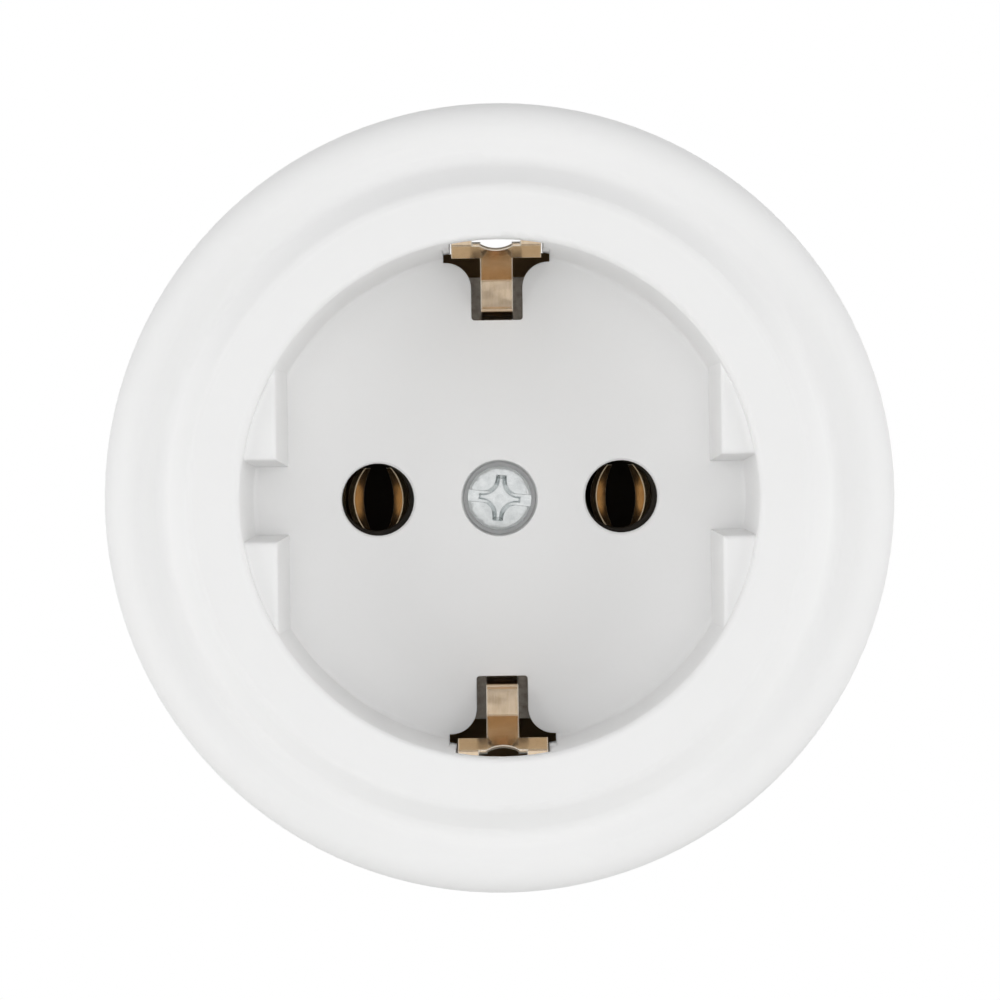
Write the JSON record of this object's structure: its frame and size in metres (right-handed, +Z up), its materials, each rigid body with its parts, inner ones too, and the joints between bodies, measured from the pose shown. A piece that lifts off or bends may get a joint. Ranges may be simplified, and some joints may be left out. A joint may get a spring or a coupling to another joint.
{
  "type": "wall socket",
  "caption": "Round white surface-mounted wall socket with a recessed round plug well, pin holes, side earth springs, a stepped front ring and a dark insulating base.",
  "frame": {"origin": "centre of the back face, on the wall", "axes": "+Y into the wall, so the front faces -Y; +Z up; +X to the right seen from the front"},
  "size_m": [0.0608, 0.043, 0.0608],
  "materials": {
    "white_plastic": "smooth semi-gloss white thermoplastic",
    "dark_plastic": "matte black thermoset",
    "brass": "bright stamped brass",
    "bronze": "satin phosphor bronze strip",
    "zinc": "bright zinc plate on steel",
    "steel": "dull zinc-plated steel sheet"
  },
  "bodies": {
    "root": {"cover": "white_plastic", "cover_screw": "zinc", "base": "dark_plastic", "pin_contact_left": "brass", "pin_contact_right": "brass", "contact_cap_left": "dark_plastic", "contact_cap_right": "dark_plastic", "earth_bridge": "steel", "earth_spring_top": "bronze", "earth_spring_bottom": "bronze", "earth_rivet_top": "steel", "earth_rivet_bottom": "steel", "bridge_screw_top": "zinc", "bridge_screw_bottom": "zinc", "terminal_screw_left": "zinc", "terminal_screw_right": "zinc", "wire_clamp_left": "steel", "wire_clamp_right": "steel", "terminal_nut_left": "brass", "terminal_nut_right": "brass", "earth_terminal_screw": "zinc", "earth_wire_clamp": "steel", "earth_terminal_nut": "brass"}
  },
  "joints": []
}
